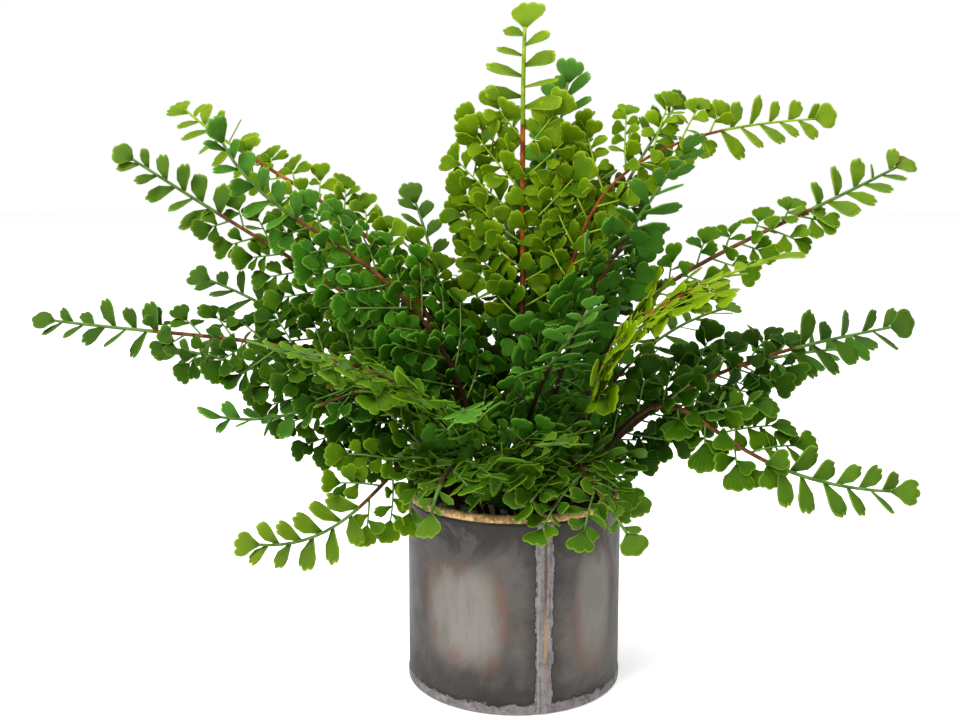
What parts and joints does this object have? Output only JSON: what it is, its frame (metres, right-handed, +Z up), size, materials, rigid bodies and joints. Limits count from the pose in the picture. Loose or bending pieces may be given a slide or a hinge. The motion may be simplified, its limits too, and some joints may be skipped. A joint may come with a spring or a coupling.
{
  "type": "potted maidenhair fern",
  "caption": "Maidenhair fern in a straight welded steel can with a brazed rim: arching fronds of fan-shaped leaflets on wiry brown and green stalks, standing in potting soil.",
  "frame": {"origin": "centre of the can's underside, on the surface that it stands on", "axes": "+Z up; -Y toward the front, the side where the weld seam shows; +X to the right seen from the front"},
  "size_m": [0.4885, 0.3135, 0.3791],
  "materials": {
    "weathered_steel": "raw steel sheet with heat tint, smears and dark patches",
    "braze": "rough golden brazing, speckled",
    "soil": "dark crumbly potting soil",
    "frond_lime": "satin leaf",
    "frond_fresh": "satin leaf",
    "frond_mid": "satin leaf",
    "frond_deep": "satin leaf",
    "frond_blue": "satin leaf"
  },
  "bodies": {
    "root": {"pot_can": "weathered_steel", "rim_braze": "braze", "potting_soil": "soil", "frond_01": "frond_lime", "frond_02": "frond_blue", "frond_03": "frond_lime", "frond_04": "frond_deep", "frond_05": "frond_blue", "frond_06": "frond_fresh", "frond_07": "frond_lime", "frond_08": "frond_mid", "frond_09": "frond_deep", "frond_10": "frond_blue", "frond_11": "frond_mid", "frond_12": "frond_mid", "frond_13": "frond_mid", "frond_14": "frond_fresh", "frond_15": "frond_deep", "frond_16": "frond_deep", "frond_17": "frond_deep", "frond_18": "frond_mid", "frond_19": "frond_blue", "frond_20": "frond_lime", "frond_21": "frond_lime", "frond_22": "frond_deep", "frond_23": "frond_blue", "frond_24": "frond_mid", "frond_25": "frond_mid", "frond_26": "frond_blue", "frond_27": "frond_deep", "frond_28": "frond_blue", "frond_29": "frond_mid", "frond_30": "frond_deep", "frond_31": "frond_mid", "frond_32": "frond_deep", "frond_33": "frond_deep", "frond_34": "frond_mid"}
  },
  "joints": []
}
